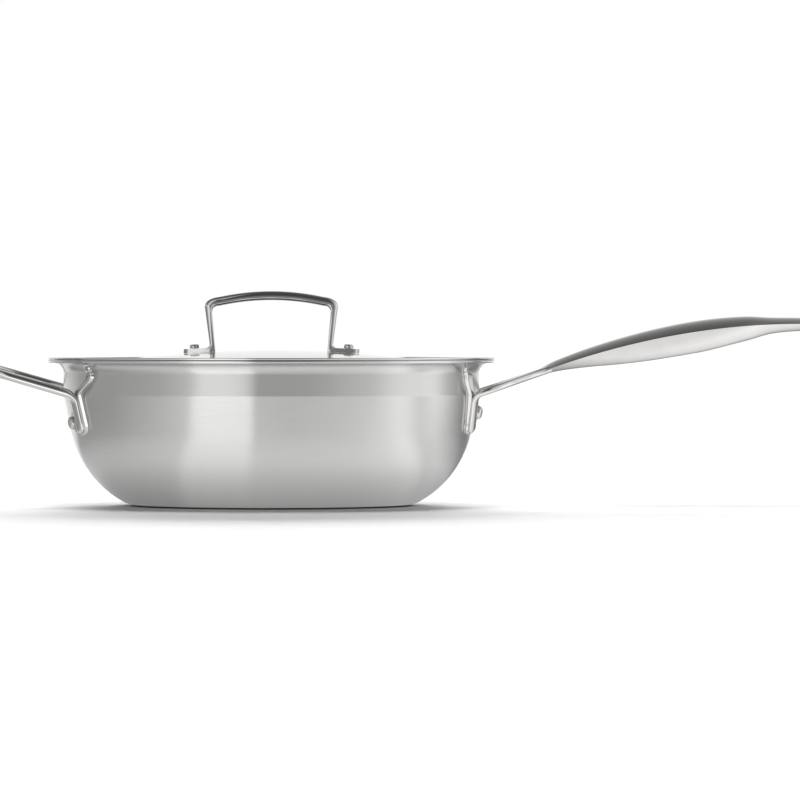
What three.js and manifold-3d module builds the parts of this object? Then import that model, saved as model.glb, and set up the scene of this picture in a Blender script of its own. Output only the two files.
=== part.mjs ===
// Chef pan of clad steel with a forked long handle, a looped helper handle and an inset domed lid.
// Millimetres, +Z up. The origin is the centre of the pan's underside. The long handle points along +X.
import * as THREE from 'three';
import { mergeVertices } from 'three/addons/utils/BufferGeometryUtils.js';
import Module from 'manifold-3d';

const wasm = await Module();
wasm.setup();

const degrees = THREE.MathUtils.degToRad;

// Facets of the round pieces and of the bends
const turnSteps = 40;
const rivetSteps = 12;
const strapSides = 12;
const bendSteps = 4;
const gripSteps = 12;

// Pan body: flat base, round belly, tapered wall, upright collar band, flared flange
const collarRadius = 118.7;
const baseInset = 43.7;
const baseFillet = 21;
const bellyRadius = 60;
const wallTaper = degrees(12);
const creaseHeight = 63.5;
const collarHeight = 18.1;
const flareRadius = 6;
const flangeReach = 3.3;

// Clad sheet, from the outside in
const outerPly = 0.4;
const corePly = 0.9;
const innerPly = 0.4;
const bondFilm = 0.05;

// Clearances
const seatGap = 0.3;
const holeGap = 0.3;
const lidPlay = 1.6;

// Lid: flange on the rim, skirt inside the mouth, shallow dome
const lidSheet = 1;
const insetDepth = 5;
const domeRise = 3.8;
const lidBend = 1.5;
const lidValley = 3;

// Lid handle: an arch of tapering strap with a foot at each end
const archHalfSpan = 37.3;
const archHeight = 34;
const archCrown = 3.2;
const archCrownHalf = 29.5;
const archShoulder = 9;
const archShoulderDrop = 1;
const archInnerShoulder = 4;
const barDepth = 5.2;
const barWidth = 13;
const legTopThickness = 3.9;
const legFootThickness = 2.9;
const legLean = 2.8;
const footReach = 15;
const footThickness = 2;
const footFillet = 2.5;
const footEdge = 6.3;
const strapChamfer = 0.8;

// Handle feet: two cast pads that hug the wall, each with a horn up to the flange and a lobe for a rivet
const plateThickness = 1.6;
const bottomDrop = 22.5;
const bottomRadius = 6;
const lobeRadius = 6.2;
const hornRise = 8.5;
const hornLift = 3;
const hornPinch = 4;
const hornPinchDrop = 3.6;

const longFoot = {
  bottomHalf: 31,
  waistHalf: 40,
  hornHalf: 46.6,
  hornTopHalf: 54,
  hornWidth: 5,
  rivetHalf: 22,
  rivetDrop: 9.5,
};

const helperFoot = {
  bottomHalf: 53.5,
  waistHalf: 54,
  hornHalf: 66.5,
  hornTopHalf: 69.7,
  hornWidth: 5.6,
  rivetHalf: 40,
  rivetDrop: 15,
};

// Straps: rounded bars that run up the wall on the feet and bend out into the handle
const strapWidth = 8.5;
const strapThickness = 5.6;
const legThickness = 4.2;
const strapDrop = 19;
const strapTip = 2;
const strapTipShare = 0.6;
const strapBend = 7.5;
const strapRise = 0.4;

// Long handle, measured out from the rim
const forkReach = 28;
const forkEndHalf = 3.2;
const forkEndThickness = 4.2;
const forkSlope = degrees(19.2);
const gripLength = 156;
const gripRise = 28.2;
const gripArchLength = 150;
const eyeReach = 27;
const hangHoleLength = 18;
const hangHoleWidth = 8.5;
const hangHoleEdge = 9;

// Grip sections: share of the grip's length, half width, crown above the side crease, keel below it
const gripSections = [
  { at: 0, half: 8.5, crown: 2.1, keel: 2.1 },
  { at: 0.07, half: 9.2, crown: 3.7, keel: 2.9 },
  { at: 0.35, half: 12, crown: 5.4, keel: 10.8 },
  { at: 0.58, half: 13.5, crown: 6.2, keel: 12.2 },
  { at: 0.76, half: 12.5, crown: 5.6, keel: 8.6 },
  { at: 0.86, half: 11, crown: 4.1, keel: 5.2 },
  { at: 1, half: 10, crown: 3.5, keel: 3.7 },
];

// Powers of the grip's section curves
const crownPower = 2.2;
const keelPower = 1.7;

// Helper loop, measured out from the rim
const loopReach = 38;
const loopCorner = 22;
const loopSlope = degrees(14.8);
const loopThickness = 4.4;

// Rivets
const handleRivet = {
  shank: 2.3,
  head: 3.6,
  headHeight: 3.2,
  chamfer: 0.8,
  tail: 4.4,
  tailHeight: 1.6,
  tailRound: 0.9,
};

const lidRivet = {
  shank: 1.5,
  head: 2.75,
  headHeight: 2.2,
  chamfer: 0.6,
  tail: 2.9,
  tailHeight: 1,
  tailRound: 0.6,
};

// Sizes that follow
const wallThickness = outerPly + corePly + innerPly + 2 * bondFilm;
const flangeHeight = creaseHeight + collarHeight;
const rimHeight = flangeHeight + wallThickness;
const rimRadius = collarRadius + flareRadius + flangeReach;
const seatHeight = rimHeight + seatGap;
const plateOffset = seatGap + plateThickness;
const facetSag = collarRadius * (1 - Math.cos(Math.PI / turnSteps));

// Belly and base arcs: the belly runs into the tapered wall, and the base fillet into the belly
const baseRadius = collarRadius - baseInset;
const wallNormal = new THREE.Vector2(Math.cos(wallTaper), -Math.sin(wallTaper));
const crease = new THREE.Vector2(collarRadius, creaseHeight);
const filletRoom = baseInset * wallNormal.x + creaseHeight * wallNormal.y;
const filletRadius = Math.min(baseFillet, filletRoom / (1 + wallNormal.y) - seatGap);
const filletCentre = new THREE.Vector2(baseRadius, filletRadius);
const filletDepth = crease.clone().sub(filletCentre).dot(wallNormal);
const bellyAcross = bellyRadius - filletDepth;
const bellyAlong = Math.sqrt((bellyRadius - filletRadius) ** 2 - bellyAcross ** 2);
const wallUp = new THREE.Vector2(-wallNormal.y, wallNormal.x);
const bellyCentre = filletCentre.clone()
  .addScaledVector(wallNormal, -bellyAcross)
  .addScaledVector(wallUp, bellyAlong);
const bellyStart = filletCentre.clone().sub(bellyCentre).angle() - 2 * Math.PI;
const flareCentre = new THREE.Vector2(collarRadius + flareRadius, flangeHeight - flareRadius);

// Lid dome: a sphere that rolls into the valley at the foot of the skirt
const skirtRadius = collarRadius - wallThickness - lidPlay;
const valleyCentre = new THREE.Vector2(skirtRadius - lidValley, seatHeight - insetDepth + lidValley);
const domeTop = seatHeight + domeRise;
const valleyBelowTop = domeTop - valleyCentre.y;
const domeRadius = (valleyCentre.x ** 2 + valleyBelowTop ** 2 - lidValley ** 2)
  / (2 * (lidValley + valleyBelowTop));
const domeCentre = new THREE.Vector2(0, domeTop - domeRadius);
const domeLean = Math.asin(valleyCentre.x / (domeRadius + lidValley));

// Materials
const steel = (color, roughness) => new THREE.MeshStandardMaterial({ color, roughness, metalness: 1 });
const panSteel = () => steel('#c4c6c8', 0.28);
const castSteel = () => steel('#b9bbbd', 0.16);

// Solids and meshes
function weld(geometry) {
  const bare = new THREE.BufferGeometry();
  bare.setAttribute('position', geometry.getAttribute('position'));
  bare.setIndex(geometry.getIndex());
  const merged = mergeVertices(bare);
  const corners = merged.getIndex().array;
  const kept = [];
  for (let i = 0; i < corners.length; i += 3) {
    const [a, b, c] = corners.slice(i, i + 3);
    if (a !== b && b !== c && c !== a) kept.push(a, b, c);
  }
  merged.setIndex(kept);
  return merged;
}

function solidOf(geometry) {
  const bare = weld(geometry);
  return new wasm.Manifold(new wasm.Mesh({
    numProp: 3,
    vertProperties: new Float32Array(bare.getAttribute('position').array),
    triVerts: new Uint32Array(bare.getIndex().array),
  }));
}

function geometryOf(solid) {
  const mesh = solid.getMesh();
  const geometry = new THREE.BufferGeometry();
  geometry.setAttribute('position', new THREE.BufferAttribute(new Float32Array(mesh.vertProperties), 3));
  geometry.setIndex(new THREE.BufferAttribute(new Uint32Array(mesh.triVerts), 1));
  return geometry;
}

function named(name, geometry, material) {
  const mesh = new THREE.Mesh(geometry, material);
  mesh.name = name;
  return mesh;
}

// Profiles, with r across and z up
function addArc(points, centre, radius, from, to, steps) {
  for (let i = 0; i <= steps; i += 1) {
    const angle = THREE.MathUtils.lerp(from, to, i / steps);
    const point = new THREE.Vector2(Math.cos(angle), Math.sin(angle)).multiplyScalar(radius).add(centre);
    const last = points.at(-1);
    if (!last || last.distanceTo(point) > bondFilm / 10) points.push(point);
  }
}

function revolve(profile, steps = turnSteps) {
  return weld(new THREE.LatheGeometry(profile, steps).rotateX(Math.PI / 2));
}

// The pan's outer surface from the axis to the end of the flare, moved out by an offset
function wallProfile(offset) {
  const points = [new THREE.Vector2(0, -offset)];
  addArc(points, filletCentre, filletRadius + offset, -Math.PI / 2, bellyStart, 2);
  addArc(points, bellyCentre, bellyRadius + offset, bellyStart, -wallTaper, 4);
  points.push(new THREE.Vector2(collarRadius + offset, creaseHeight - offset * Math.tan(wallTaper / 2)));
  addArc(points, flareCentre, flareRadius - offset, Math.PI, Math.PI / 2, 3);
  return points;
}

function plyGeometry(outside, thickness) {
  const inside = outside - thickness;
  return revolve([
    ...wallProfile(outside),
    new THREE.Vector2(rimRadius, flangeHeight - outside),
    new THREE.Vector2(rimRadius, flangeHeight - inside),
    ...wallProfile(inside).reverse(),
  ]);
}

// Everything inside the pan's outer surface moved out by an offset, up to the flare's end
function panBlank(offset) {
  return revolve([...wallProfile(offset), new THREE.Vector2(0, flangeHeight - offset)]);
}

function wallAt(height) {
  if (height >= creaseHeight) return { radius: collarRadius, lean: 0 };
  const taperRadius = collarRadius - (creaseHeight - height) * Math.tan(wallTaper);
  const bellyTop = bellyCentre.y - bellyRadius * Math.sin(wallTaper);
  if (height >= bellyTop) return { radius: taperRadius, lean: wallTaper };
  const lean = Math.asin((bellyCentre.y - height) / bellyRadius);
  return { radius: bellyCentre.x + bellyRadius * Math.cos(lean), lean };
}

// The lid's underside from the axis to the rim, moved up by an offset
function lidProfile(offset) {
  const points = [];
  const bendCentre = new THREE.Vector2(skirtRadius + lidBend, seatHeight - lidBend);
  addArc(points, domeCentre, domeRadius + offset, Math.PI / 2, Math.PI / 2 - domeLean, 5);
  addArc(points, valleyCentre, lidValley - offset, -Math.PI / 2 - domeLean, 0, 3);
  addArc(points, bendCentre, lidBend + offset, Math.PI, Math.PI / 2, 2);
  points.push(new THREE.Vector2(rimRadius, seatHeight + offset));
  return points;
}

function domeAt(radius, offset) {
  return domeCentre.y + Math.sqrt((domeRadius + offset) ** 2 - radius ** 2);
}

// A closed skin through rings that have the same number of points
function loft(rings) {
  const count = rings[0].length;
  const vertices = rings.flat().flatMap((point) => point.toArray());
  const faces = [];
  for (let ring = 0; ring + 1 < rings.length; ring += 1) {
    for (let i = 0; i < count; i += 1) {
      const next = (i + 1) % count;
      const [a, b] = [ring * count + i, ring * count + next];
      faces.push(a, b, b + count, a, b + count, a + count);
    }
  }
  for (let i = 1; i + 1 < count; i += 1) {
    const last = (rings.length - 1) * count;
    faces.push(0, i + 1, i, last, last + i, last + i + 1);
  }
  const geometry = new THREE.BufferGeometry();
  geometry.setAttribute('position', new THREE.Float32BufferAttribute(vertices, 3));
  geometry.setIndex(faces);
  return geometry;
}

// A rounded strap section about a point: across is its width direction, up its thickness direction
function strapRing(centre, across, up, width, thickness) {
  const rounded = (value) => (Math.sign(value) * Math.sqrt(Math.abs(value))) / 2;
  const ring = [];
  for (let i = 0; i < strapSides; i += 1) {
    const angle = (2 * Math.PI * (i + 0.5)) / strapSides;
    ring.push(centre.clone()
      .addScaledVector(across, rounded(Math.cos(angle)) * width)
      .addScaledVector(up, rounded(Math.sin(angle)) * thickness));
  }
  return ring;
}

// A strap along joined curves. Each curve has the strap's thickness at its end, and the first one is a tip.
// The width direction turns to the one given for a curve's end, or else stays level with the handle.
function strapSolid(legs, planeUp) {
  const rings = [];
  let last = { thickness: legThickness * strapTipShare, across: legs[0].across };
  for (const { curve, thickness, across } of legs) {
    const steps = curve.isLineCurve3 ? 1 : bendSteps;
    for (let i = rings.length ? 1 : 0; i <= steps; i += 1) {
      const share = i / steps;
      const along = curve.getTangent(share);
      const wide = across ? last.across.clone().lerp(across, share) : planeUp.clone().cross(along);
      wide.addScaledVector(along, -wide.dot(along)).normalize();
      const up = along.clone().cross(wide);
      const width = rings.length ? strapWidth : strapWidth * strapTipShare;
      const depth = THREE.MathUtils.lerp(last.thickness, thickness, share);
      rings.push(strapRing(curve.getPoint(share), wide, up, width, depth));
    }
    last = { thickness, across };
  }
  return solidOf(loft(rings));
}

// The rooted end of a strap: a tip, a run up the wall, and a bend out to the handle's slope
function rootLegs(foot, slope) {
  const reachAt = (height) => wallAt(height).radius + legThickness / 2;
  const onWall = (out, height) => new THREE.Vector3(Math.sqrt(reachAt(height) ** 2 - out ** 2), out, height);
  const low = onWall(foot.bottomHalf - strapWidth / 2, creaseHeight - strapDrop);
  const corner = onWall(foot.waistHalf - strapWidth / 2, creaseHeight + strapRise);
  const down = low.clone().sub(corner).normalize();
  const out = new THREE.Vector3(Math.cos(slope), 0, Math.sin(slope));
  const tip = low.clone().addScaledVector(down, strapTip);
  const bendStart = corner.clone().addScaledVector(down, strapBend);
  const head = corner.clone().addScaledVector(out, strapBend);
  const flat = new THREE.Vector3(-corner.y, corner.x, 0).normalize();
  const level = new THREE.Vector3(0, 1, 0);
  const bend = new THREE.QuadraticBezierCurve3(bendStart, corner, head);
  const legs = [
    { curve: new THREE.LineCurve3(tip, low), thickness: legThickness, across: flat },
    { curve: new THREE.LineCurve3(low, bendStart), thickness: legThickness, across: flat },
    { curve: bend, thickness: strapThickness, across: level },
  ];
  return { corner, head, legs };
}

// One foot's outline as seen along the handle, y across and z up
function footOutline({ bottomHalf, waistHalf, hornHalf, hornTopHalf, hornWidth }) {
  const bottom = creaseHeight - bottomDrop;
  const waist = creaseHeight;
  const horn = creaseHeight + hornRise;
  const bow = hornRise / 3;
  const pinch = flangeHeight - hornPinchDrop;
  const corner = bottomHalf - bottomRadius;
  const outline = new THREE.Shape();
  outline.moveTo(bottomHalf - strapWidth, bottom);
  outline.absarc(corner, bottom + bottomRadius, bottomRadius, -Math.PI / 2, 0);
  outline.lineTo(waistHalf, waist);
  outline.bezierCurveTo(waistHalf, waist + bow, hornHalf, horn - bow, hornHalf, horn);
  outline.quadraticCurveTo(hornHalf - hornPinch, pinch, hornTopHalf, flangeHeight);
  outline.lineTo(hornTopHalf - hornWidth, flangeHeight);
  outline.quadraticCurveTo(hornHalf - hornPinch - hornWidth, pinch, hornHalf - hornWidth, horn + hornLift);
  outline.bezierCurveTo(
    hornHalf - hornWidth,
    horn - bow + hornLift,
    waistHalf - hornWidth,
    waist + bow + hornLift,
    waistHalf - hornWidth,
    waist + hornLift,
  );
  outline.lineTo(waistHalf - strapWidth, waist);
  return outline;
}

// The lobe that carries a foot's rivet, joined to the middle of the foot
function lobeOutline({ bottomHalf, waistHalf, rivetHalf, rivetDrop }) {
  const height = creaseHeight - rivetDrop;
  const joined = (bottomHalf + waistHalf - strapWidth) / 2;
  const outline = new THREE.Shape();
  outline.absarc(rivetHalf, height, lobeRadius, Math.PI / 2, 1.5 * Math.PI);
  outline.lineTo(joined, height - lobeRadius);
  outline.lineTo(joined, height + lobeRadius);
  return outline;
}

// Lays a shape that was drawn in y and z, and extruded, along +X
function alongX(geometry) {
  const axes = new THREE.Matrix4().makeBasis(
    new THREE.Vector3(0, 1, 0),
    new THREE.Vector3(0, 0, 1),
    new THREE.Vector3(1, 0, 0),
  );
  return geometry.applyMatrix4(axes);
}

function feetSolid(foot) {
  const depth = { depth: rimRadius, bevelEnabled: false, curveSegments: bendSteps };
  const [pad, lobe] = [footOutline(foot), lobeOutline(foot)].map((outline) => {
    return solidOf(alongX(new THREE.ExtrudeGeometry(outline, depth)));
  });
  const one = solidOf(panBlank(plateOffset)).intersect(pad.add(lobe));
  return one.add(one.mirror([0, 1, 0]));
}

// Rivets: local +Z points out of the seat under the head
function rivetGeometry(rivet, grip) {
  const tail = -grip - rivet.tailHeight;
  const profile = [
    [0, tail],
    [rivet.tail - rivet.tailRound, tail],
    [rivet.tail, tail + rivet.tailRound],
    [rivet.tail, -grip],
    [rivet.shank, -grip],
    [rivet.shank, 0],
    [rivet.head, 0],
    [rivet.head, rivet.headHeight - rivet.chamfer],
    [rivet.head - rivet.chamfer, rivet.headHeight],
    [0, rivet.headHeight],
  ];
  return revolve(profile.map(([r, z]) => new THREE.Vector2(r, z)), rivetSteps);
}

function shankHole(rivet, length) {
  return new THREE.CylinderGeometry(rivet.shank + holeGap, rivet.shank + holeGap, length, rivetSteps)
    .rotateX(Math.PI / 2);
}

// A wall rivet's place: on the plate's outer face, square to the wall
function wallRivetPlace(foot, turn, side) {
  const height = creaseHeight - foot.rivetDrop;
  const { radius, lean } = wallAt(height);
  const angle = turn + side * Math.asin(foot.rivetHalf / radius);
  const normal = new THREE.Vector3(
    Math.cos(lean) * Math.cos(angle),
    Math.cos(lean) * Math.sin(angle),
    -Math.sin(lean),
  );
  const point = new THREE.Vector3(radius * Math.cos(angle), radius * Math.sin(angle), height)
    .addScaledVector(normal, plateOffset + seatGap);
  const turned = new THREE.Quaternion().setFromUnitVectors(new THREE.Vector3(0, 0, 1), normal);
  return new THREE.Matrix4().compose(point, turned, new THREE.Vector3(1, 1, 1));
}

const wallGrip = plateOffset + wallThickness + 2 * seatGap + facetSag;
const wallRivets = [
  { name: 'long_handle_rivet_front', place: wallRivetPlace(longFoot, 0, -1) },
  { name: 'long_handle_rivet_back', place: wallRivetPlace(longFoot, 0, 1) },
  { name: 'helper_handle_rivet_front', place: wallRivetPlace(helperFoot, Math.PI, 1) },
  { name: 'helper_handle_rivet_back', place: wallRivetPlace(helperFoot, Math.PI, -1) },
];

const lidRivetOut = archHalfSpan - legLean + footReach - footEdge;
const lidRivetSeat = domeAt(lidRivetOut, lidSheet) + 2 * seatGap + footThickness;
const lidGrip = footThickness + lidSheet + 3 * seatGap;
const lidRivets = [
  { name: 'lid_rivet_left', side: -1 },
  { name: 'lid_rivet_right', side: 1 },
].map(({ name, side }) => {
  const lean = side * Math.asin(lidRivetOut / (domeRadius + lidSheet));
  const place = new THREE.Matrix4().makeRotationY(lean);
  place.setPosition(side * lidRivetOut, 0, lidRivetSeat);
  return { name, place };
});

function drilled(solid, rivets, rivet, length) {
  let left = solid;
  for (const { place } of rivets) {
    left = left.subtract(solidOf(shankHole(rivet, length).applyMatrix4(place)));
  }
  return left;
}

const wallHole = 2 * (wallGrip + seatGap);
const lidHole = 2 * (lidGrip + seatGap);

// Pan plies
function panPly(name, outside, thickness, material) {
  const solid = drilled(solidOf(plyGeometry(outside, thickness)), wallRivets, handleRivet, wallHole);
  return named(name, geometryOf(solid), material);
}

// Long handle
function gripSolid(start) {
  const stations = gripSections.map((section) => section.at);
  const values = gripSections.flatMap((section) => [section.half, section.crown, section.keel]);
  const form = new THREE.CubicInterpolant(stations, values, 3);
  const rings = [];
  const addRing = (share, x, shrink) => {
    const [half, crown, keel] = form.evaluate(share);
    const left = Math.max(0, 1 - (x - start.x) / gripArchLength);
    rings.push(gripRing(x, start.y + gripRise * (1 - left ** 2), half * shrink, crown, keel));
  };
  const round = gripSections.at(-1).half;
  for (let i = 0; i <= gripSteps; i += 1) {
    const share = i / gripSteps;
    addRing(share, start.x + share * gripLength, 1);
  }
  const end = start.x + gripLength + eyeReach - round;
  for (let i = 0; i < bendSteps; i += 1) {
    const angle = ((i / bendSteps) * Math.PI) / 2;
    addRing(1, end + round * Math.sin(angle), Math.cos(angle));
  }
  return solidOf(loft(rings));
}

// Leaf section of the grip: a low crown over a deeper keel, meeting in a crease at each side
function gripRing(x, creaseLevel, half, crown, keel) {
  const ring = [];
  for (let i = -bendSteps; i < bendSteps; i += 1) {
    const y = i / bendSteps;
    ring.push(new THREE.Vector3(x, y * half, creaseLevel - keel * (1 - Math.abs(y) ** keelPower)));
  }
  for (let i = bendSteps; i > -bendSteps; i -= 1) {
    const y = i / bendSteps;
    ring.push(new THREE.Vector3(x, y * half, creaseLevel + crown * (1 - Math.abs(y) ** crownPower)));
  }
  return ring;
}

function longHandle() {
  const planeUp = new THREE.Vector3(-Math.sin(forkSlope), 0, Math.cos(forkSlope));
  const forkEnd = rimRadius + forkReach;
  const gripStart = forkEnd - strapWidth / 2;
  const { corner, head, legs } = rootLegs(longFoot, forkSlope);
  const levelAt = (x) => corner.z + (x - corner.x) * Math.tan(forkSlope);
  const pointAt = (x, y) => new THREE.Vector3(x, y, levelAt(x));
  const arm = new THREE.CubicBezierCurve3(
    head,
    pointAt(head.x + forkReach / 2, head.y),
    pointAt(forkEnd - forkReach / 2, 2 * forkEndHalf),
    pointAt(forkEnd + forkEndHalf, forkEndHalf),
  );
  const strap = strapSolid([...legs, { curve: arm, thickness: forkEndThickness }], planeUp);
  const grip = gripSolid(new THREE.Vector2(gripStart, levelAt(gripStart)));
  let solid = feetSolid(longFoot).add(grip).add(strap).add(strap.mirror([0, 1, 0]));
  const eye = new THREE.Shape();
  const holeEnd = gripStart + gripLength + eyeReach - hangHoleEdge;
  const holeRadius = hangHoleWidth / 2;
  eye.absarc(holeEnd - holeRadius, 0, holeRadius, -Math.PI / 2, Math.PI / 2);
  eye.absarc(holeEnd - hangHoleLength + holeRadius, 0, holeRadius, Math.PI / 2, 1.5 * Math.PI);
  const through = { depth: 2 * rimHeight, bevelEnabled: false, curveSegments: bendSteps };
  const hole = new THREE.ExtrudeGeometry(eye, through);
  solid = solid.subtract(solidOf(hole)).subtract(solidOf(panBlank(seatGap)));
  solid = drilled(solid, wallRivets.slice(0, 2), handleRivet, wallHole);
  return named('long_handle', geometryOf(solid), castSteel());
}

// Helper handle, made along +X and turned to the other side
function helperHandle() {
  const planeUp = new THREE.Vector3(-Math.sin(loopSlope), 0, Math.cos(loopSlope));
  const end = rimRadius + loopReach;
  const { corner, head, legs } = rootLegs(helperFoot, loopSlope);
  const pointAt = (x, y) => new THREE.Vector3(x, y, corner.z + (x - corner.x) * Math.tan(loopSlope));
  const armEnd = pointAt(end - loopCorner, corner.y);
  const barStart = pointAt(end, corner.y - loopCorner);
  const loop = [
    new THREE.LineCurve3(head, armEnd),
    new THREE.QuadraticBezierCurve3(armEnd, pointAt(end, corner.y), barStart),
    new THREE.LineCurve3(barStart, pointAt(end, -seatGap)),
  ];
  const strap = strapSolid([...legs, ...loop.map((curve) => ({ curve, thickness: loopThickness }))], planeUp);
  let solid = feetSolid(helperFoot).add(strap).add(strap.mirror([0, 1, 0]));
  solid = solid.subtract(solidOf(panBlank(seatGap)));
  const turned = solidOf(geometryOf(solid).rotateZ(Math.PI));
  const holed = drilled(turned, wallRivets.slice(2), handleRivet, wallHole);
  return named('helper_handle', geometryOf(holed), castSteel());
}

// Lid
function lid() {
  const profile = [...lidProfile(0), ...lidProfile(lidSheet).reverse()];
  const solid = drilled(solidOf(revolve(profile)), lidRivets, lidRivet, lidHole);
  return named('lid', geometryOf(solid), panSteel());
}

// Lid handle: the arch seen from the side, cut to a plan with round feet and to the dome below it
function archOutline() {
  const top = domeTop + lidSheet + archHeight;
  const shoulder = top - archShoulder;
  const footLevel = domeAt(archHalfSpan, lidSheet) + seatGap + footThickness;
  const footEnd = archHalfSpan - legLean + footReach;
  const below = domeAt(footEnd, lidSheet) - footThickness;
  const legOut = archHalfSpan - legLean;
  const legIn = archHalfSpan - legTopThickness;
  const underEnd = legIn - archInnerShoulder;
  const underDrop = archCrown * (underEnd / archCrownHalf) ** 2;
  const side = new THREE.Path();
  side.moveTo(0, top);
  side.quadraticCurveTo(archCrownHalf / 2, top, archCrownHalf, top - archCrown);
  side.quadraticCurveTo(archHalfSpan, top - archCrown - archShoulderDrop, archHalfSpan, shoulder);
  side.lineTo(legOut, footLevel + footFillet);
  side.quadraticCurveTo(legOut, footLevel, legOut + footFillet, footLevel);
  side.lineTo(footEnd, domeAt(footEnd, lidSheet) + seatGap + footThickness);
  side.lineTo(footEnd, below);
  side.lineTo(legOut - legFootThickness, below);
  side.lineTo(legIn, top - archCrown - barDepth - archInnerShoulder);
  side.quadraticCurveTo(legIn, top - archCrown - barDepth, underEnd, top - underDrop - barDepth);
  side.quadraticCurveTo(underEnd / 2, top - barDepth, 0, top - barDepth);
  const half = side.getPoints(bendSteps);
  const mirrored = half.slice(1, -1).map((point) => new THREE.Vector2(-point.x, point.y)).reverse();
  return new THREE.Shape([...half, ...mirrored]);
}

function lidHandle() {
  const footEnd = archHalfSpan - legLean + footReach;
  const strap = new THREE.ExtrudeGeometry(archOutline(), {
    depth: barWidth - 2 * strapChamfer,
    bevelThickness: strapChamfer,
    bevelSize: strapChamfer,
    bevelOffset: -strapChamfer,
    bevelSegments: 1,
  });
  strap.translate(0, 0, strapChamfer - barWidth / 2).rotateX(Math.PI / 2);
  const plan = new THREE.Shape();
  const round = barWidth / 2;
  plan.absarc(footEnd - round, 0, round, -Math.PI / 2, Math.PI / 2);
  plan.absarc(round - footEnd, 0, round, Math.PI / 2, 1.5 * Math.PI);
  const tall = { depth: 2 * rimHeight, bevelEnabled: false, curveSegments: rivetSteps };
  const blank = new THREE.ExtrudeGeometry(plan, tall);
  const under = [
    ...lidProfile(lidSheet + seatGap),
    new THREE.Vector2(rimRadius, 0),
    new THREE.Vector2(0, 0),
  ].reverse();
  const solid = solidOf(strap).intersect(solidOf(blank)).subtract(solidOf(revolve(under)));
  return named('lid_handle', geometryOf(drilled(solid, lidRivets, lidRivet, lidHole)), castSteel());
}

// Assembly
const pan = new THREE.Group();
pan.add(
  panPly('pan_outer_ply', 0, outerPly, panSteel()),
  panPly('pan_core_ply', -outerPly - bondFilm, corePly, steel('#d3d4d2', 0.5)),
  panPly('pan_inner_ply', -outerPly - corePly - 2 * bondFilm, innerPly, panSteel()),
  longHandle(),
  helperHandle(),
);

const lidGroup = new THREE.Group();
lidGroup.add(lid(), lidHandle());

function addRivets(group, rivets, rivet, grip) {
  for (const { name, place } of rivets) {
    const mesh = named(name, rivetGeometry(rivet, grip), steel('#c9cacb', 0.22));
    mesh.applyMatrix4(place);
    group.add(mesh);
  }
}

addRivets(pan, wallRivets, handleRivet, wallGrip);
addRivets(lidGroup, lidRivets, lidRivet, lidGrip);

const chefPan = new THREE.Group();
chefPan.add(pan, lidGroup);

export default chefPan;
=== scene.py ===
"""A chef pan of clad steel with a forked long handle, a looped helper handle and an inset domed lid.

Sizes are in millimetres and are turned to metres where a mesh is placed.
+Z is up, and the long handle points along +X.
"""

from math import acos, asin, ceil, cos, pi, radians, sin, sqrt, tan

import bmesh
import bpy
from mathutils import Matrix, Vector


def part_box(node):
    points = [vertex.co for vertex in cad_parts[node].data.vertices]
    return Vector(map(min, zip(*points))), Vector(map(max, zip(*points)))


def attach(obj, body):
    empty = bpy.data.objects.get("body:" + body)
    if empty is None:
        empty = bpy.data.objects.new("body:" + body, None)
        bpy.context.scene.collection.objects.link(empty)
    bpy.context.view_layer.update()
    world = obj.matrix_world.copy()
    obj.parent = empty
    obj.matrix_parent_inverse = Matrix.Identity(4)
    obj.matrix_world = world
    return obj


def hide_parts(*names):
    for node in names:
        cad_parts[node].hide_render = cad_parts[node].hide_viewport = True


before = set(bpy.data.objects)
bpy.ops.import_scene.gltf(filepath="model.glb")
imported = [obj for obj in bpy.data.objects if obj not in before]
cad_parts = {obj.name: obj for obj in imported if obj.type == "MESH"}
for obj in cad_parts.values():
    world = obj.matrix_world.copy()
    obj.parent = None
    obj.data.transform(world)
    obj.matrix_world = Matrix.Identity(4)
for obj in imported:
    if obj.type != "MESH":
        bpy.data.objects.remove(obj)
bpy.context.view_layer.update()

MM = 0.001
UP = Vector((0, 0, 1))
ACROSS = Vector((0, 1, 0))

# Pan body: flat base, round belly, tapered wall, upright collar band, flared flange
COLLAR_RADIUS = 118.7
BASE_RADIUS = 75
BASE_FILLET = 21
BELLY_RADIUS = 60
WALL_TAPER = radians(12)
CREASE_HEIGHT = 63.5
CREASE_ROUND = 2.5
FLARE_RADIUS = 6
RIM_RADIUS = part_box("pan_outer_ply")[1].x / MM
FLANGE_HEIGHT = 81.6
PLY_EDGE = 0.1
RIM_ROUND = 0.28
RIM_INSET = 0.5
RIM_BUFF = 2

# Clad sheet, from the outside in
OUTER_PLY = 0.4
CORE_PLY = 0.9
INNER_PLY = 0.4
BOND_FILM = 0.05
WALL = OUTER_PLY + CORE_PLY + INNER_PLY + 2 * BOND_FILM

# Lid
SEAT_HEIGHT = 83.7
SKIRT_RADIUS = 115.3
LID_SHEET = 1
LID_EDGE = 0.3
INSET_DEPTH = 5
DOME_RISE = 3.8
LID_BEND = 1.5
LID_VALLEY = 3

# Lid handle: an arched bar that is rounded more over its top than under it
ARCH_HALF = 38.1
ARCH_HEIGHT = 34
ARCH_CROWN = 3.2
ARCH_CROWN_HALF = 29.5
ARCH_SHOULDER = 9
ARCH_SHOULDER_DROP = 1
ARCH_INNER_SHOULDER = 4
BAR_DEPTH = 5.2
BAR_WIDTH = 13
BAR_ROUND = 2.4
OVER_SHARE = 0.66
UNDER_SHARE = 0.24
LEG_TOP = 4.4
LEG_FOOT = 3.4
LEG_LEAN = 2.8
FOOT_REACH = 15
FOOT_THICKNESS = 2.5
FOOT_FILLET = 2.5
FOOT_EDGE = 6.3
FOOT_TIP = 4.4
FOOT_ROOM = 1.1

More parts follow.
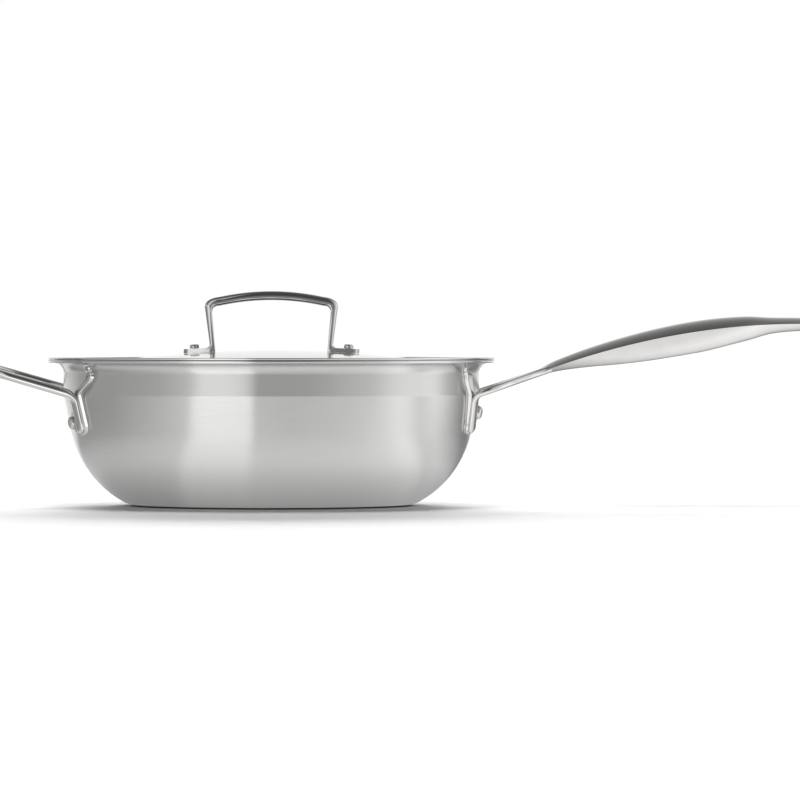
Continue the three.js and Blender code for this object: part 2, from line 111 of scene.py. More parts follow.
# Handle feet: cast pads that hug the wall, each with a horn up to the flange and a lobe for a rivet
SEAT_GAP = 0.1
PLATE = 1.7
PLATE_EDGE = 0.5
BOTTOM_DROP = 22.5
BOTTOM_ROUND = 6
LOBE_RADIUS = 6.2
HORN_RISE = 10.5
HORN_NECK = 15.5
HORN_BOW = 4
HORN_TURN = 2
HORN_LIFT = 2
HORN_CURL = radians(82)
HORN_FEATHER = 0.8
LONG_FOOT = dict(
    bottom=31, waist=39.5, horn=(38, 45.5), neck=(37.5, 48), top=(41, 55),
    rivet=22, drop=9.5, rise=0, strap=4.1)
HELPER_FOOT = dict(
    bottom=53.5, waist=54, horn=(63, 67.2), neck=(61.5, 65.8), top=(66, 72),
    rivet=40, drop=15, rise=0.1, strap=5.1)

# Straps: rounded bars that run up the wall on the feet and bend out into the handle
STRAP_WIDTH = 8.5
LEG_THICKNESS = 3.4
LEG_CLEAR = 0.8
STRAP_DROP = 19
STRAP_TIP = 2.6
STRAP_BEND = 4.5
STRAP_POWER = 2.7

# Long handle, measured out from the rim
FORK_REACH = 28
FORK_END_HALF = 3.2
FORK_END_THICKNESS = 4.2
FORK_SLOPE = radians(18.6)
GRIP_LENGTH = 156
GRIP_RISE = 28.2
GRIP_ARCH = 150
EYE_REACH = 27
SLOT_LENGTH = 18
SLOT_WIDTH = 8.5
SLOT_EDGE = 9
CROWN_POWER = 2.2
KEEL_POWER = 1.7

# Grip: share of the length, half width, crown above the side crease, keel below it
GRIP_FORM = [
    (0, 8.5, 2.1, 2.1),
    (0.07, 9.2, 3.7, 2.9),
    (0.35, 12, 5.4, 10.8),
    (0.58, 13.5, 6.2, 12.2),
    (0.76, 12.5, 5.6, 8.6),
    (0.86, 11, 4.1, 5.2),
    (1, 10, 3.5, 3.7),
]

# Helper loop, measured out from the rim
LOOP_REACH = 38
LOOP_CORNER = 22
LOOP_SLOPE = radians(16.2)
LOOP_THICKNESS = 4.8

# Rivets: radii of the shank, the head and the formed tail, with their heights, chamfer and broken edges
WALL_RIVET = dict(
    shank=2.3, head=3.75, height=3.5, chamfer=1.1, edge=0.4,
    tail=4.4, tail_height=1.6, tail_round=0.9)
LID_RIVET = dict(
    shank=1.5, head=2.75, height=2.2, chamfer=0.6, edge=0.2,
    tail=2.9, tail_height=1, tail_round=0.6)

# Tolerances: a chord's greatest distance from its arc, and how near corners merge
ARC_SAG = 0.004
MERGE = 0.002

# Steps along each curve, sides of a strap's section, and the spacing of a pad's grid
CURVE_STEPS = 16
TURN_STEPS = 192
RIVET_STEPS = 40
DOME_STEPS = 48
BAR_LANES = 13
STRAP_SIDES = 32
STRAP_TIP_STEPS = 6
STRAP_TIP_START = 0.6
LEG_STEPS = 4
BEND_STEPS = 16
FORK_STEPS = 32
LOOP_ARM_STEPS = 8
LOOP_CORNER_STEPS = 20
LOOP_BAR_STEPS = 6
GRIP_STEPS = 64
GRIP_HALF_STEPS = 14
GRIP_END_STEPS = 14
PLATE_EDGE_STEPS = 4
PAD_GRID = 1.1
ROOM_STEPS = 96

# Smooth shading: its greatest angle, and how near a bend the extra edges lie that hold it there
SMOOTH_ANGLE = radians(32)
SHEET_HOLD = 0.5
RIVET_HOLD = 0.1
PLATE_HOLD = 0.15

# Finishes: sizes of the patterns, depths of their bumps, and the shares they spread a roughness over
STROKE_LINES = 40
LINE_BUMP = 0.02
LINE_SPAN = (0.3, 0.7)
LINE_SHARES = (0.9, 1.1)
CLOUD_SIZE = 35
RIPPLE_BUMP = 0.05
SCUFF_SIZE = 1.2
SCUFF_SPAN = (0.3, 0.75)
SCUFF_SHARES = (0.8, 1.3)
QUARTER_TURN = 0.25

# Camera and floor, in metres apart from the lens and its sensor
EYE = Vector((0.0734, -3.3, 0.097))
AIM = Vector((0.0734, 0, 0.0603))
LENS = 259.9
SENSOR = 36
VIEW_END = 100
FLOOR_SIZE = 60

# Studio lights on the floor: share of its white, bearing to the right of the camera's line, height and spread
FILL = 0.02
LIGHTS = [
    ("backdrop_left", 0.2, -171, 20, 30),
    ("backdrop", 0.2, 180, 20, 30),
    ("backdrop_right", 0.2, 171, 20, 30),
    ("back_high", 0.06, 180, 60, 44),
    ("overhead", 0.42, 180, 84, 30),
]

# The room that the metal reflects, from under the pan out to the walls and up to the crown of its vault.
# Each edge has a radius, a height and greys by bearing, in degrees to the right of the camera's line.
ROOM = [
    ("table_under", 78, 1, [
        (-170, 0.8), (-130, 0.58), (-90, 0.67), (-56, 0.77), (-40, 0.84), (-30, 1.05), (-12, 1.08), (-4, 1.1),
        (35, 1.12), (60, 1.16), (80, 1), (95, 0.8), (120, 0.6), (170, 0.8)]),
    ("table_near", 165, 1, [
        (-170, 0.8), (-120, 0.66), (-78, 0.78), (-55, 0.9), (-36, 1), (-32, 1.35), (-9, 1.35), (-5, 1.02),
        (10, 1), (35, 1.04), (50, 1.2), (60, 1.4), (66, 1.36), (71, 1.04), (76, 1), (82, 1.08), (90, 0.95),
        (105, 0.65), (125, 0.4), (150, 0.35), (170, 0.8)]),
    ("table_middle", 300, 1, [
        (-170, 0.95), (-142, 0.9), (-130, 0.28), (-82, 0.36), (-57, 0.6), (-36, 1), (-34, 1.68), (-8, 1.68),
        (-6, 0.88), (8, 0.8), (33, 0.84), (48, 0.98), (57, 1.25), (64, 1.4), (70, 1.2), (75, 0.96),
        (81, 0.98), (88, 1.3), (98, 1.1), (112, 0.6), (125, 0.25), (150, 0.25), (170, 0.85)]),
    ("table_far", 900, 1, [
        (-170, 0.95), (-140, 0.9), (-120, 0.95), (-86, 1), (-58, 0.95), (-38, 1), (-35, 1.55), (-8, 1.55),
        (-6, 1.05), (8, 1.2), (37, 1.2), (47, 1.15), (58, 1.2), (70, 1.5), (80, 1.9), (100, 1.9), (112, 0.8),
        (125, 0.3), (150, 0.28), (170, 0.9)]),
    ("wall_foot", 3600, 1, [
        (-165, 1), (-150, 0.85), (-137, 0.7), (-127, 0.2), (-100, 0.18), (-75, 0.28), (-60, 0.5),
        (-48, 0.85), (-40, 1.15), (-22, 1.15), (-13, 0.6), (-6, 0.24), (10, 0.2), (32, 0.24), (46, 0.38),
        (57, 0.52), (69, 0.87), (82, 1.05), (97, 1), (112, 0.42), (124, 0.42), (136, 0.83), (165, 1)]),
    ("wall_top", 3600, 1000, [
        (-165, 0.95), (-145, 0.75), (-100, 0.7), (-46, 0.6), (-43, 0.75), (-13, 0.75), (-11, 0.28), (20, 0.3),
        (45, 0.68), (70, 0.95), (90, 1.3), (104, 1.3), (122, 1), (145, 0.6), (165, 0.95)]),
    ("vault_foot", 3450, 1400, [
        (-150, 0.7), (-100, 0.5), (-60, 0.3), (-46, 0.25), (-43, 0.75), (-13, 0.75), (-11, 0.1), (25, 0.12),
        (42, 0.62), (90, 1), (104, 1), (130, 0.7), (150, 0.7)]),
    ("vault_low", 2600, 2600, [
        (-150, 0.38), (-100, 0.25), (-60, 0.12), (-44, 0.1), (-42, 0.7), (-13, 0.7), (-11, 0.06), (25, 0.08),
        (40, 0.6), (100, 0.75), (150, 0.38)]),
    ("vault_high", 1300, 3300, [
        (-150, 0.2), (-60, 0.1), (30, 0.08), (60, 0.25), (100, 0.35), (150, 0.2)]),
    ("vault_crown", 0, 3700, [(-180, 0.11), (180, 0.11)]),
]

# The table's share of its grey close to the pan's base: a painted shadow of the pan on the table cards
PAINTED_TABLE_SHADOW = 0.36

# Sizes that follow
PLATE_OFFSET = SEAT_GAP + PLATE
HORN_TOP = FLANGE_HEIGHT - FLARE_RADIUS + FLARE_RADIUS * HORN_CURL
RIM_HEIGHT = FLANGE_HEIGHT + WALL
WALL_GRIP = PLATE_OFFSET + WALL + 2 * SEAT_GAP
LID_GRIP = FOOT_THICKNESS + LID_SHEET + 3 * SEAT_GAP
FOOT_END = ARCH_HALF - LEG_LEAN + FOOT_REACH
FLARE_CENTRE = (COLLAR_RADIUS + FLARE_RADIUS, FLANGE_HEIGHT - FLARE_RADIUS)
FILLET_CENTRE = Vector((BASE_RADIUS, BASE_FILLET))
WALL_NORMAL = Vector((cos(WALL_TAPER), -sin(WALL_TAPER)))
WALL_RUN = Vector((sin(WALL_TAPER), cos(WALL_TAPER)))
BELLY_IN = BELLY_RADIUS - (Vector((COLLAR_RADIUS, CREASE_HEIGHT)) - FILLET_CENTRE).dot(WALL_NORMAL)
BELLY_UP = sqrt((BELLY_RADIUS - BASE_FILLET) ** 2 - BELLY_IN ** 2)
BELLY_CENTRE = FILLET_CENTRE - WALL_NORMAL * BELLY_IN + WALL_RUN * BELLY_UP
BELLY_START = -(FILLET_CENTRE - BELLY_CENTRE).angle(Vector((1, 0)))
DOME_TOP = SEAT_HEIGHT + DOME_RISE
VALLEY_CENTRE = (SKIRT_RADIUS - LID_VALLEY, SEAT_HEIGHT - INSET_DEPTH + LID_VALLEY)
VALLEY_DROP = DOME_TOP - VALLEY_CENTRE[1]
DOME_RADIUS = (VALLEY_CENTRE[0] ** 2 + VALLEY_DROP ** 2 - LID_VALLEY ** 2) / (2 * (LID_VALLEY + VALLEY_DROP))
DOME_LEAN = asin(VALLEY_CENTRE[0] / (DOME_RADIUS + LID_VALLEY))


# Outlines
def arc(centre, radius, start, end):
    """Points on an arc, close enough that its chords leave it by no more than the sag."""
    steps = max(4, ceil(abs(end - start) / (2 * acos(1 - ARC_SAG / radius))))
    turns = [start + (end - start) * i / steps for i in range(steps + 1)]
    return [(centre[0] + radius * cos(turn), centre[1] + radius * sin(turn)) for turn in turns]


def along(points, share):
    """Place and direction on the curve that two to four points steer."""
    while len(points) > 2:
        points = [a.lerp(b, share) for a, b in zip(points, points[1:])]
    start, end = points
    return start.lerp(end, share), (end - start).normalized()


def drawn(*corners):
    """Flat points along curves: each part is one point, or those that steer a curve from the last one."""
    places = [corners[0]]
    for part in corners[1:]:
        steer = [Vector(p) for p in (places[-1], *part)]
        count = 1 if len(steer) == 2 else CURVE_STEPS
        places += [tuple(along(steer, (i + 1) / count)[0]) for i in range(count)]
    return places


def held(profile, hold=SHEET_HOLD):
    """Adds a point near both ends of each long straight, so that smooth shading stays at the bends."""
    places = []
    for start, end in zip(profile, profile[1:]):
        run = Vector(end) - Vector(start)
        places.append(start)
        if run.length > 4 * hold:
            step = run.normalized() * hold
            places += [tuple(Vector(start) + step), tuple(Vector(end) - step)]
    return places + [profile[-1]]


# Modelling steps
def begin(add, name, **sizes):
    """Adds a primitive with nothing else selected, and opens it in edit mode."""
    bpy.ops.object.select_all(action="DESELECT")
    add(**sizes)
    piece = bpy.context.object
    piece.name = piece.data.name = name
    bpy.ops.object.mode_set(mode="EDIT")
    return piece


def close(piece):
    """Merges doubles, turns the faces outwards and leaves edit mode."""
    bpy.ops.mesh.select_all(action="SELECT")
    bpy.ops.mesh.remove_doubles(threshold=MERGE * MM)
    bpy.ops.mesh.normals_make_consistent(inside=False)
    bpy.ops.object.mode_set(mode="OBJECT")
    shade(piece)
    return piece


def pick(piece):
    """Selects one piece alone and makes it the active one."""
    bpy.ops.object.select_all(action="DESELECT")
    piece.select_set(True)
    bpy.context.view_layer.objects.active = piece


def shade(piece):
    pick(piece)
    bpy.ops.object.shade_smooth_by_angle(angle=SMOOTH_ANGLE)


def draw_line(name, places):
    """A plane shrunk to a point, which is extruded from place to place."""
    piece = begin(bpy.ops.mesh.primitive_plane_add, name, size=MM)
    bpy.ops.mesh.merge(type="CENTER")
    bpy.ops.transform.translate(value=places[0] * MM)
    for start, end in zip(places, places[1:]):
        bpy.ops.mesh.extrude_vertices_move(TRANSFORM_OT_translate={"value": (end - start) * MM})
    return piece


def spun(name, profile, steps=TURN_STEPS):
    """A profile of radius and height, spun about the upright axis."""
    piece = draw_line(name, [Vector((r, 0, z)) for r, z in profile])
    bpy.ops.mesh.select_all(action="SELECT")
    bpy.ops.mesh.spin(steps=steps, angle=2 * pi, center=(0, 0, 0), axis=UP)
    return close(piece)


def pressed(name, outline, direction):
    """A flat outline filled and extruded along a direction."""
    piece = draw_line(name, outline)
    bpy.ops.mesh.select_all(action="SELECT")
    bpy.ops.mesh.edge_face_add()
    bpy.ops.mesh.extrude_region_move(TRANSFORM_OT_translate={"value": direction * MM})
    return close(piece)


def skinned(name, sections):
    """A disc set on the first section is extruded to each next one."""
    piece = begin(bpy.ops.mesh.primitive_circle_add, name, vertices=len(sections[0]), fill_type="NGON")
    mesh = bmesh.from_edit_mesh(piece.data)
    mesh.verts.ensure_lookup_table()
    ring = [corner.index for corner in mesh.faces[:][0].verts]
    set_ring(mesh, ring, sections[0])
    for section in sections[1:]:
        bpy.ops.mesh.extrude_region_move()
        mesh = bmesh.from_edit_mesh(piece.data)
        mesh.verts.index_update()
        mesh.verts.ensure_lookup_table()
        ring = [next_corner(mesh.verts[index]) for index in ring]
        set_ring(mesh, ring, section)
    bmesh.update_edit_mesh(piece.data)
    return close(piece)


def next_corner(corner):
    """The fresh corner that an extrusion has joined to an old one."""
    return next(edge.other_vert(corner).index for edge in corner.link_edges if edge.other_vert(corner).select)


def set_ring(mesh, ring, places):
    for index, place in zip(ring, places):
        mesh.verts[index].co = place * MM


def combine(piece, tool, operation):
    """Joins or cuts a piece with a tool, which is used up."""
    change = piece.modifiers.new(operation, "BOOLEAN")
    change.operation = operation
    change.solver = "EXACT"
    change.object = tool
    pick(piece)
    bpy.ops.object.modifier_apply(modifier=change.name)
    bpy.data.objects.remove(tool)


def mirrored(piece, name):
    """A copy of a piece on the other side of the handles' middle plane."""
    twin = piece.copy()
    twin.data = piece.data.copy()
    twin.name = twin.data.name = name
    bpy.context.scene.collection.objects.link(twin)
    turned(twin, Matrix.Scale(-1, 4, ACROSS))
    bpy.ops.object.mode_set(mode="EDIT")
    return close(twin)


def turned(piece, place):
    """Moves a piece to a place and leaves its object at the origin."""
    pick(piece)
    piece.matrix_world = place
    bpy.ops.object.transform_apply(location=True, rotation=True, scale=True)
    return piece


# Pan
def wall_profile(offset):
    """The pan's outer surface from the axis to the flare's end, moved out by an offset."""
    crease_centre = (COLLAR_RADIUS - CREASE_ROUND, CREASE_HEIGHT + CREASE_ROUND * tan(WALL_TAPER / 2))
    return [
        (0, -offset),
        *arc(FILLET_CENTRE, BASE_FILLET + offset, -pi / 2, BELLY_START),
        *arc(BELLY_CENTRE, BELLY_RADIUS + offset, BELLY_START, -WALL_TAPER)[1:],
        *arc(crease_centre, CREASE_ROUND + offset, -WALL_TAPER, 0),
        *arc(FLARE_CENTRE, FLARE_RADIUS - offset, pi, pi / 2),
    ]


def pan_ply(name, outside, thickness, low_round=PLY_EDGE, high_round=PLY_EDGE):
    """One sheet of the clad wall, with its edges broken or rounded at the rim."""
    inside = outside - thickness
    end = RIM_RADIUS - RIM_INSET
    low, high = FLANGE_HEIGHT - outside, FLANGE_HEIGHT - inside
    rim = arc((end - low_round, low + low_round), low_round, -pi / 2, 0)
    rim += arc((end - high_round, high - high_round), high_round, 0, pi / 2)
    return spun(name, held([*wall_profile(outside), *rim, *reversed(wall_profile(inside))]))


def wall_at(height):
    """The wall's outer radius at a height, and how far its face looks down."""
    if height >= CREASE_HEIGHT:
        return COLLAR_RADIUS, 0
    if height >= BELLY_CENTRE.y - BELLY_RADIUS * sin(WALL_TAPER):
        return COLLAR_RADIUS - (CREASE_HEIGHT - height) * tan(WALL_TAPER), WALL_TAPER
    lean = asin((BELLY_CENTRE.y - height) / BELLY_RADIUS)
    return BELLY_CENTRE.x + BELLY_RADIUS * cos(lean), lean


# Lid
def lid_profile(offset):
    """The lid's underside from the axis to the flange, moved up by an offset."""
    bend_centre = (SKIRT_RADIUS + LID_BEND, SEAT_HEIGHT - LID_BEND)
    reach = DOME_RADIUS + offset
    dome = []
    for i in range(DOME_STEPS):
        lean = DOME_LEAN * i / DOME_STEPS
        dome.append((reach * sin(lean), DOME_TOP - DOME_RADIUS + reach * cos(lean)))
    return [
        *dome,
        *arc(VALLEY_CENTRE, LID_VALLEY - offset, -pi / 2 - DOME_LEAN, 0),
        *arc(bend_centre, LID_BEND + offset, pi, pi / 2),
    ]


def dome_at(radius, offset):
    return DOME_TOP - DOME_RADIUS + sqrt((DOME_RADIUS + offset) ** 2 - radius ** 2)


def lid_shell():
    low, high = SEAT_HEIGHT, SEAT_HEIGHT + LID_SHEET
    edge = arc((RIM_RADIUS - LID_EDGE, low + LID_EDGE), LID_EDGE, -pi / 2, 0)
    edge += arc((RIM_RADIUS - LID_EDGE, high - LID_EDGE), LID_EDGE, 0, pi / 2)
    return spun("lid_shell", held([*lid_profile(0), *edge, *reversed(lid_profile(LID_SHEET))]))


def arch_lines():
    """The lid handle's right half from the middle: over the bar to the foot's end, and under it."""
    top = DOME_TOP + LID_SHEET + ARCH_HEIGHT
    leg_out = ARCH_HALF - LEG_LEAN
    leg_in = ARCH_HALF - LEG_TOP
    inner_end = leg_in - ARCH_INNER_SHOULDER
    inner_top = top - ARCH_CROWN * (inner_end / ARCH_CROWN_HALF) ** 2 - BAR_DEPTH
    under_top = top - ARCH_CROWN - BAR_DEPTH
    foot_level = dome_at(ARCH_HALF, LID_SHEET) + SEAT_GAP + FOOT_THICKNESS
    foot_seat = dome_at(FOOT_END, LID_SHEET) + SEAT_GAP
    heel = leg_out - LEG_FOOT
    over = drawn(
        (0, top),
        [(ARCH_CROWN_HALF / 2, top), (ARCH_CROWN_HALF, top - ARCH_CROWN)],
        [(ARCH_HALF, top - ARCH_CROWN - ARCH_SHOULDER_DROP), (ARCH_HALF, top - ARCH_SHOULDER)],
        [(leg_out, foot_level + FOOT_FILLET)],
        [(leg_out, foot_level), (leg_out + FOOT_FILLET, foot_level)],
        [(FOOT_END, foot_seat + FOOT_THICKNESS)],
    )
    under = drawn(
        (0, top - BAR_DEPTH),
        [(inner_end / 2, top - BAR_DEPTH), (inner_end, inner_top)],
        [(leg_in, under_top), (leg_in, under_top - ARCH_INNER_SHOULDER)],
        [(heel, dome_at(heel, LID_SHEET) + SEAT_GAP)],
        [(FOOT_END, foot_seat)],
    )
    return over, under


def room_at(height):
    """How thick the lid handle is at a height, which limits the rounding of its edges."""
    foot_top = dome_at(ARCH_HALF, LID_SHEET) + SEAT_GAP + FOOT_THICKNESS
    top = DOME_TOP + LID_SHEET + ARCH_HEIGHT
    steps = [
        (foot_top, FOOT_ROOM),
        (foot_top + 2 * FOOT_FILLET, LEG_FOOT),
        (top - ARCH_SHOULDER, LEG_TOP),
        (top - ARCH_CROWN, BAR_DEPTH),
    ]
    for (low, thin), (high, thick) in zip(steps, steps[1:]):
        if height < high:
            return thin + (thick - thin) * max(0, height - low) / (high - low)
    return BAR_DEPTH


def lid_arch():
    """Slices of the outline, drawn in towards both sides of the bar so that its edges are round."""
    over, under = arch_lines()
    half = [(place, OVER_SHARE) for place in over] + [(place, UNDER_SHARE) for place in reversed(under)]
    outline = half + [((-x, z), share) for (x, z), share in reversed(half[1:-1])]
    count = len(outline)
    sections = []
    for lane in range(BAR_LANES):
        turn = -pi / 2 + pi * lane / (BAR_LANES - 1)
        flank = (turn > 0) - (turn < 0)
        y = sin(turn) * BAR_ROUND + (BAR_WIDTH / 2 - BAR_ROUND) * flank
        section = []
        for i, (place, share) in enumerate(outline):
            ahead = Vector(outline[(i + 1) % count][0]) - Vector(outline[i - 1][0])
            inward = Vector((ahead.y, -ahead.x)).normalized()
            spot = Vector(place) + inward * (1 - cos(turn)) * share * room_at(place[1])
            section.append(Vector((spot.x, y, spot.y)))
        sections.append(section)
    piece = skinned("lid_arch", sections)
    slant = asin((BAR_WIDTH / 2 - FOOT_TIP) / FOOT_REACH)
    plan = arc((FOOT_END - FOOT_TIP, 0), FOOT_TIP, slant - pi / 2, pi / 2 - slant)
    plan = [(ARCH_HALF - LEG_LEAN, -BAR_WIDTH / 2), *plan, (ARCH_HALF - LEG_LEAN, BAR_WIDTH / 2)]
    plan += [(-x, -y) for x, y in plan]
    plan_tool = pressed("plan", [Vector((x, y, 0)) for x, y in plan], UP * 2 * RIM_HEIGHT)
    combine(piece, plan_tool, "INTERSECT")
    shade(piece)
    return piece


# Straps and feet
def strap_ring(centre, wide, up, width, thickness):
    """A rounded section: wide is its width direction and up its thickness direction."""
    ring = []
    for i in range(STRAP_SIDES):
        turn = 2 * pi * (i + 0.5) / STRAP_SIDES
        sideways = eased(cos(turn)) * width / 2
        upwards = eased(sin(turn)) * thickness / 2
        ring.append(centre + wide * sideways + up * upwards)
    return ring


def eased(value):
    return (1 if value > 0 else -1) * abs(value) ** (2 / STRAP_POWER)


def strap_sections(legs, plane_up):
    """Rings along joined curves, with a rounded tip at the start.

    Each leg has its points, its steps, and the thickness and width direction at its end.
    """
    rings = []
    thick, wide_before = LEG_THICKNESS, legs[0][3]
    for points, steps, end_thick, end_wide in legs:
        for i in range(1 if rings else 0, steps + 1):
            share = i / steps
            place, ahead = along(points, share)
            wide = wide_before.lerp(end_wide, share) if end_wide else plane_up.cross(ahead)
            wide = (wide - ahead * wide.dot(ahead)).normalized()
            depth = thick + (end_thick - thick) * share
            rings.append((place, wide, ahead.cross(wide), STRAP_WIDTH, depth))
        thick, wide_before = end_thick, end_wide
    place, wide, up, width, depth = rings[0]
    ahead = along(legs[0][0], 0)[1]
    tip = []
    for i in range(STRAP_TIP_STEPS):
        turn = pi / 2 * (i + STRAP_TIP_START) / (STRAP_TIP_STEPS + STRAP_TIP_START)
        tip.append((place - ahead * STRAP_TIP * cos(turn), wide, up, width * sin(turn), depth * sin(turn)))
    return [strap_ring(*ring) for ring in tip + rings]


def root_legs(foot, slope):
    """The rooted end of a strap: a run up the wall and a bend out to the handle's slope."""
    low = strap_place(foot["bottom"] - STRAP_WIDTH / 2, CREASE_HEIGHT - STRAP_DROP)
    corner = strap_place(foot["waist"] - STRAP_WIDTH / 2, CREASE_HEIGHT + foot["rise"])
    down = (low - corner).normalized()
    out = Vector((cos(slope), 0, sin(slope)))
    bend_start = corner + down * STRAP_BEND
    head = corner + out * STRAP_BEND
    flat = Vector((-corner.y, corner.x, 0)).normalized()
    legs = [
        ([low, bend_start], LEG_STEPS, LEG_THICKNESS, flat),
        ([bend_start, corner, head], BEND_STEPS, foot["strap"], ACROSS),
    ]
    return corner, head, legs


def strap_place(out, height):
    reach = wall_at(height)[0] + LEG_CLEAR + LEG_THICKNESS / 2
    return Vector((sqrt(reach ** 2 - out ** 2), out, height))


def foot_outline(foot):
    """One pad with its horn and rivet lobe, laid flat: y across, and z up the wall and on along its flare."""
    bottom = CREASE_HEIGHT - BOTTOM_DROP
    waist = CREASE_HEIGHT
    horn = CREASE_HEIGHT + HORN_RISE
    neck = CREASE_HEIGHT + HORN_NECK
    inside = horn + HORN_LIFT / 2
    horn_in, horn_out = foot["horn"]
    neck_in, neck_out = foot["neck"]
    top_in, top_out = foot["top"]
    lifted = waist + HORN_LIFT
    inner_waist = foot["waist"] - STRAP_WIDTH / 2
    bow = (neck - horn) / 2
    corner = arc((foot["bottom"] - BOTTOM_ROUND, bottom + BOTTOM_ROUND), BOTTOM_ROUND, -pi / 2, 0)
    sides = drawn(
        corner[-1],
        [(foot["waist"], waist)],
        [(foot["waist"], waist + HORN_TURN), (horn_out, horn - HORN_BOW), (horn_out, horn)],
        [(horn_out, horn + bow), (neck_out, neck - bow), (neck_out, neck)],
        [(neck_out, neck + bow), (top_out, HORN_TOP - bow), (top_out, HORN_TOP)],
        [(top_in, HORN_TOP)],
        [(top_in, HORN_TOP - bow), (neck_in, neck + bow), (neck_in, neck)],
        [(neck_in, neck - bow), (horn_in, inside + bow), (horn_in, inside)],
        [(horn_in, inside - HORN_BOW), (inner_waist, lifted + HORN_TURN), (inner_waist, lifted)],
        [(foot["waist"] - STRAP_WIDTH, waist)],
    )
    lobe_height = CREASE_HEIGHT - foot["drop"]
    low, high = lobe_height - LOBE_RADIUS, lobe_height + LOBE_RADIUS
    inner_low, inner_high = (inner_edge(foot, height) for height in (low, high))
    lobe = arc((foot["rivet"], lobe_height), LOBE_RADIUS, pi / 2, 1.5 * pi)
    return [
        (foot["bottom"] - STRAP_WIDTH, bottom),
        *corner,
        *sides[1:],
        (inner_high, high),
        *lobe,
        (inner_low, low),
    ]


def inner_edge(foot, height):
    """Where the pad's straight inner edge is at a height."""
    share = (height - CREASE_HEIGHT + BOTTOM_DROP) / BOTTOM_DROP
    return foot["bottom"] + (foot["waist"] - foot["bottom"]) * share - STRAP_WIDTH


def foot_pad(foot):
    """A plate with a rounded rim, cut into a grid and laid on the wall. Its horn thins to the flare."""
    outline = foot_outline(foot)
    pad = draw_line("pad", [Vector((0, y, z)) for y, z in outline])
    bpy.ops.mesh.select_all(action="SELECT")
    bpy.ops.mesh.edge_face_add()
    mesh = bmesh.from_edit_mesh(pad.data)
    face = mesh.faces[:][0]
    if face.normal.x < 0:
        bpy.ops.mesh.flip_normals()
    for rise in (PLATE - PLATE_EDGE - PLATE_HOLD, PLATE_HOLD):
        bpy.ops.mesh.extrude_region_move(TRANSFORM_OT_translate={"value": (rise * MM, 0, 0)})
    for i in range(PLATE_EDGE_STEPS):
        start, end = (pi / 2 * k / PLATE_EDGE_STEPS for k in (i, i + 1))
        inset = PLATE_EDGE * (cos(start) - cos(end))
        lift = PLATE_EDGE * (sin(end) - sin(start))
        bpy.ops.mesh.inset(thickness=inset * MM, depth=lift * MM)
    bpy.ops.mesh.inset(thickness=PLATE_HOLD * MM, depth=0)
    widths, heights = ([place[k] for place in outline] for k in (0, 1))
    for direction, places in ((ACROSS, widths), (UP, heights)):
        count = round((max(places) - min(places)) / PAD_GRID)
        for i in range(1, count):
            spot = min(places) + (max(places) - min(places)) * i / count
            bpy.ops.mesh.select_all(action="SELECT")
            bpy.ops.mesh.bisect(plane_co=direction * spot * MM, plane_no=direction)
    mesh = bmesh.from_edit_mesh(pad.data)
    for corner in mesh.verts:
        out, across, run = corner.co / MM
        curl = max(0, run - FLARE_CENTRE[1]) / (HORN_TOP - FLARE_CENTRE[1])
        reach, height = skin_at(SEAT_GAP + out * (1 - HORN_FEATHER * curl), run)
        corner.co = Vector((sqrt(reach ** 2 - across ** 2), across, height)) * MM
    bmesh.update_edit_mesh(pad.data)
    return close(pad)


def skin_at(offset, run):
    """Radius and height at a run up the wall's face and on along the flare, moved out by an offset."""
    bend = (run - FLARE_CENTRE[1]) / FLARE_RADIUS
    if bend > 0:
        reach = FLARE_RADIUS - offset
        return FLARE_CENTRE[0] - reach * cos(bend), FLARE_CENTRE[1] + reach * sin(bend)
    wall = wall_profile(offset)
    for (r0, z0), (r1, z1) in zip(wall, wall[1:]):
        if z1 > run:
            return r0 + (r1 - r0) * (run - z0) / (z1 - z0), run
    return wall[-1]


# Long handle
def grip_form(share):
    """Half width, crown and keel at a share of the grip's length, on smooth curves through its form."""
    rows = GRIP_FORM
    i = next((k for k in range(len(rows) - 1) if share <= rows[k + 1][0]), len(rows) - 2)
    span = rows[i + 1][0] - rows[i][0]
    t = (share - rows[i][0]) / span
    values = []
    for column in (1, 2, 3):
        slope_in, slope_out = (grip_slope(k, column) * span for k in (i, i + 1))
        start, end = rows[i][column], rows[i + 1][column]
        ease = t * t * (3 - 2 * t)
        values.append(
            start + (end - start) * ease + slope_in * t * (1 - t) ** 2 - slope_out * t * t * (1 - t))
    return values


def grip_slope(i, column):
    before, after = GRIP_FORM[max(0, i - 1)], GRIP_FORM[min(len(GRIP_FORM) - 1, i + 1)]
    return (after[column] - before[column]) / (after[0] - before[0])


def grip_ring(x, level, half, crown, keel):
    """Leaf section: a low crown over a deeper keel, meeting in a crease at each side."""
    ring = []
    for i in range(-GRIP_HALF_STEPS, GRIP_HALF_STEPS):
        y = sin(pi / 2 * i / GRIP_HALF_STEPS)
        ring.append(Vector((x, y * half, level - keel * (1 - abs(y) ** KEEL_POWER))))
    for i in range(GRIP_HALF_STEPS, -GRIP_HALF_STEPS, -1):
        y = sin(pi / 2 * i / GRIP_HALF_STEPS)
        ring.append(Vector((x, y * half, level + crown * (1 - abs(y) ** CROWN_POWER))))
    return ring


